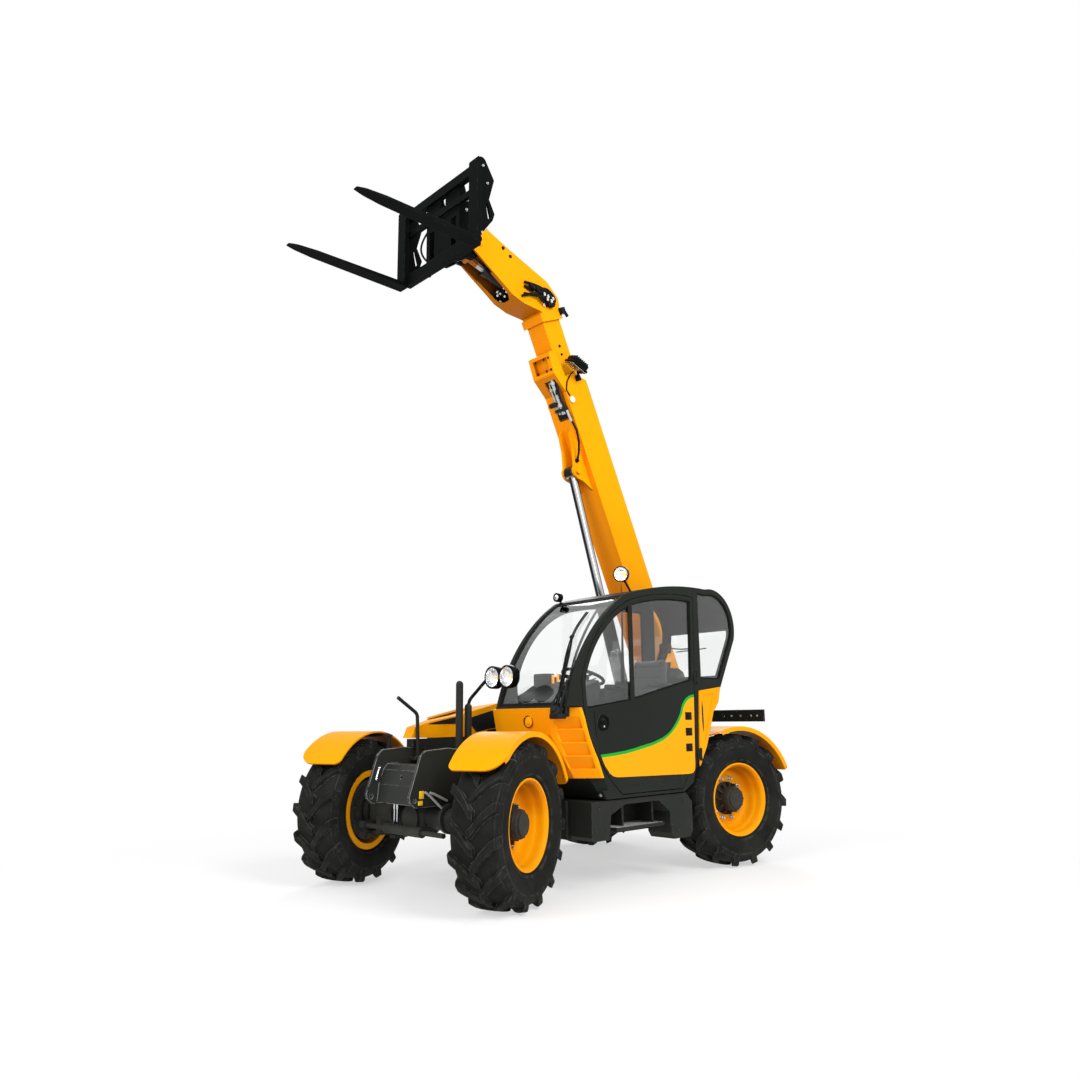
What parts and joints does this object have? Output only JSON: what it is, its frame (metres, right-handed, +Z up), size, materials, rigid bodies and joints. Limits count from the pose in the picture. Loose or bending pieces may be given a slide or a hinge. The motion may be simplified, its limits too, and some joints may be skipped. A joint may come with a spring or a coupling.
{
  "type": "telehandler",
  "caption": "Four-wheel-steer telehandler with side cab, hinged hood, raised telescopic boom on a lift cylinder and a tilting pallet fork carriage",
  "frame": {"origin": "on the ground under the middle of the bounding box, with the wheels on Z = 0", "axes": "+X forward, +Y to the left, +Z up"},
  "size_m": [4.7754, 2.6557, 6.2962],
  "materials": {
    "yellow_paint": "gloss",
    "chassis_paint": "satin",
    "cab_paint": "satin",
    "fork_steel": "satin",
    "axle_casting": "satin",
    "cylinder_paint": "satin",
    "chrome": "polished",
    "tyre_rubber": "matt",
    "hose_rubber": "satin",
    "glass": "clear",
    "black_plastic": "matt",
    "seat_cloth": "woven",
    "lamp_metal": "satin"
  },
  "bodies": {
    "chassis": {"chassis_frame": "chassis_paint", "nose_box": "chassis_paint", "front_axle": "axle_casting", "rear_axle": "axle_casting", "left_skirt": "chassis_paint", "cab_step": "chassis_paint", "fuel_tank": "chassis_paint", "battery_box": "chassis_paint", "counterweight": "chassis_paint", "tow_hitch": "chassis_paint", "rear_lamp_bar": "chassis_paint", "engine_block": "axle_casting", "engine_bay": "chassis_paint", "cab_frame": "cab_paint", "windscreen": "glass", "cab_glass": "glass", "front_fairing": "yellow_paint", "rear_corner_panel": "yellow_paint", "seat_base": "black_plastic", "seat_cushion": "seat_cloth", "seat_back": "seat_cloth", "dashboard": "black_plastic", "steering_wheel": "black_plastic", "front_posts": "chassis_paint", "front_lamps": "lamp_metal", "cab_tub": "cab_paint", "drive_line": "axle_casting", "levelling_cylinders": "chrome", "work_lamps": "lamp_metal"},
    "engine_hood": {"hood": "yellow_paint"},
    "cab_door": {"door": "cab_paint", "door_glass": "glass"},
    "boom": {"outer_boom": "yellow_paint", "boom_lamp": "lamp_metal", "boom_hoses": "hose_rubber"},
    "telescope": {"inner_boom": "yellow_paint", "boom_head": "yellow_paint", "head_hoses": "hose_rubber"},
    "carriage": {"fork_carriage": "fork_steel", "forks": "fork_steel"},
    "lift_cylinder": {"lift_barrel": "cylinder_paint"},
    "lift_piston": {"lift_rod": "chrome"},
    "tilt_cylinder": {"tilt_barrel": "cylinder_paint"},
    "tilt_piston": {"tilt_rod": "chrome"},
    "front_left_steer": {"front_left_knuckle": "axle_casting", "front_left_fender": "yellow_paint"},
    "front_left_wheel": {"front_left_rim": "yellow_paint", "front_left_tyre": "tyre_rubber"},
    "front_right_steer": {"front_right_knuckle": "axle_casting", "front_right_fender": "yellow_paint"},
    "front_right_wheel": {"front_right_rim": "yellow_paint", "front_right_tyre": "tyre_rubber"},
    "rear_left_steer": {"rear_left_knuckle": "axle_casting", "rear_left_fender": "yellow_paint"},
    "rear_left_wheel": {"rear_left_rim": "yellow_paint", "rear_left_tyre": "tyre_rubber"},
    "rear_right_steer": {"rear_right_knuckle": "axle_casting", "rear_right_fender": "yellow_paint"},
    "rear_right_wheel": {"rear_right_rim": "yellow_paint", "rear_right_tyre": "tyre_rubber"}
  },
  "joints": [
    {"name": "front_left_steering", "type": "hinge", "parent": "chassis", "child": "front_left_steer", "pos_m": [1.219, 0.73, 0.595], "axis": [0, 0, 1], "range_deg": [-54, 12]},
    {"name": "front_left_spin", "type": "hinge", "parent": "front_left_steer", "child": "front_left_wheel", "pos_m": [1.14016, 0.93539, 0.595], "axis": [-0.3584, 0.9336, 0], "continuous": true},
    {"name": "front_right_steering", "type": "hinge", "parent": "chassis", "child": "front_right_steer", "pos_m": [1.219, -0.73, 0.595], "axis": [0, 0, 1], "range_deg": [-54, 12]},
    {"name": "front_right_spin", "type": "hinge", "parent": "front_right_steer", "child": "front_right_wheel", "pos_m": [1.29784, -0.93539, 0.595], "axis": [-0.3584, 0.9336, 0], "continuous": true},
    {"name": "rear_left_steering", "type": "hinge", "parent": "chassis", "child": "rear_left_steer", "pos_m": [-1.631, 0.73, 0.595], "axis": [0, 0, 1], "range_deg": [-21.6, 44.4]},
    {"name": "rear_left_spin", "type": "hinge", "parent": "rear_left_steer", "child": "rear_left_wheel", "pos_m": [-1.58752, 0.94566, 0.595], "axis": [0.1977, 0.9803, 0], "continuous": true},
    {"name": "rear_right_steering", "type": "hinge", "parent": "chassis", "child": "rear_right_steer", "pos_m": [-1.631, -0.73, 0.595], "axis": [0, 0, 1], "range_deg": [-21.6, 44.4]},
    {"name": "rear_right_spin", "type": "hinge", "parent": "rear_right_steer", "child": "rear_right_wheel", "pos_m": [-1.67449, -0.94566, 0.595], "axis": [0.1977, 0.9803, 0], "continuous": true},
    {"name": "boom_lift", "type": "hinge", "parent": "chassis", "child": "boom", "pos_m": [-1.806, 0, 1.72], "axis": [0, -1, 0], "range_deg": [-73, 0]},
    {"name": "boom_telescope", "type": "slide", "parent": "boom", "child": "telescope", "axis": [0.4179, 0, 0.9085], "range_m": [0, 2.2]},
    {"name": "carriage_tilt", "type": "hinge", "parent": "telescope", "child": "carriage", "pos_m": [0.79938, 0, 5.80505], "axis": [0, -1, 0], "range_deg": [-45, 85]},
    {"name": "lift_cylinder_swing", "type": "hinge", "parent": "chassis", "child": "lift_cylinder", "pos_m": [-1.456, 0, 0.85], "axis": [0, -1, 0], "range_deg": [-65.69, 0.5]},
    {"name": "lift_rod_slide", "type": "slide", "parent": "lift_cylinder", "child": "lift_piston", "axis": [0.2986, 0, 0.9544], "range_m": [-1.0728, 0.01]},
    {"name": "tilt_cylinder_swing", "type": "hinge", "parent": "telescope", "child": "tilt_cylinder", "pos_m": [0.15433, 0, 5.46993], "axis": [0, -1, 0], "range_deg": [-3.2, 5.6]},
    {"name": "tilt_rod_slide", "type": "slide", "parent": "tilt_cylinder", "child": "tilt_piston", "axis": [0.9665, 0, 0.2567], "range_m": [-0.0977, 0.1801]},
    {"name": "door_hinge", "type": "hinge", "parent": "chassis", "child": "cab_door", "pos_m": [-1.006, 1.095, 1.5], "axis": [0, 0, 1], "range_deg": [0, 90]},
    {"name": "hood_hinge", "type": "hinge", "parent": "chassis", "child": "engine_hood", "pos_m": [-0.206, -0.25, 1.54], "axis": [-1, 0, 0], "range_deg": [0, 55]}
  ],
  "couplings": [
    {"joint": "front_right_steering", "follows": "front_left_steering", "ratio": 1},
    {"joint": "rear_right_steering", "follows": "rear_left_steering", "ratio": 1},
    {"joint": "lift_cylinder_swing", "follows": "boom_lift", "ratio": 0.89309},
    {"joint": "lift_rod_slide", "follows": "boom_lift", "m_per_rad": 0.83416},
    {"joint": "tilt_cylinder_swing", "follows": "carriage_tilt", "ratio": 0.06},
    {"joint": "tilt_rod_slide", "follows": "carriage_tilt", "m_per_rad": 0.118}
  ]
}
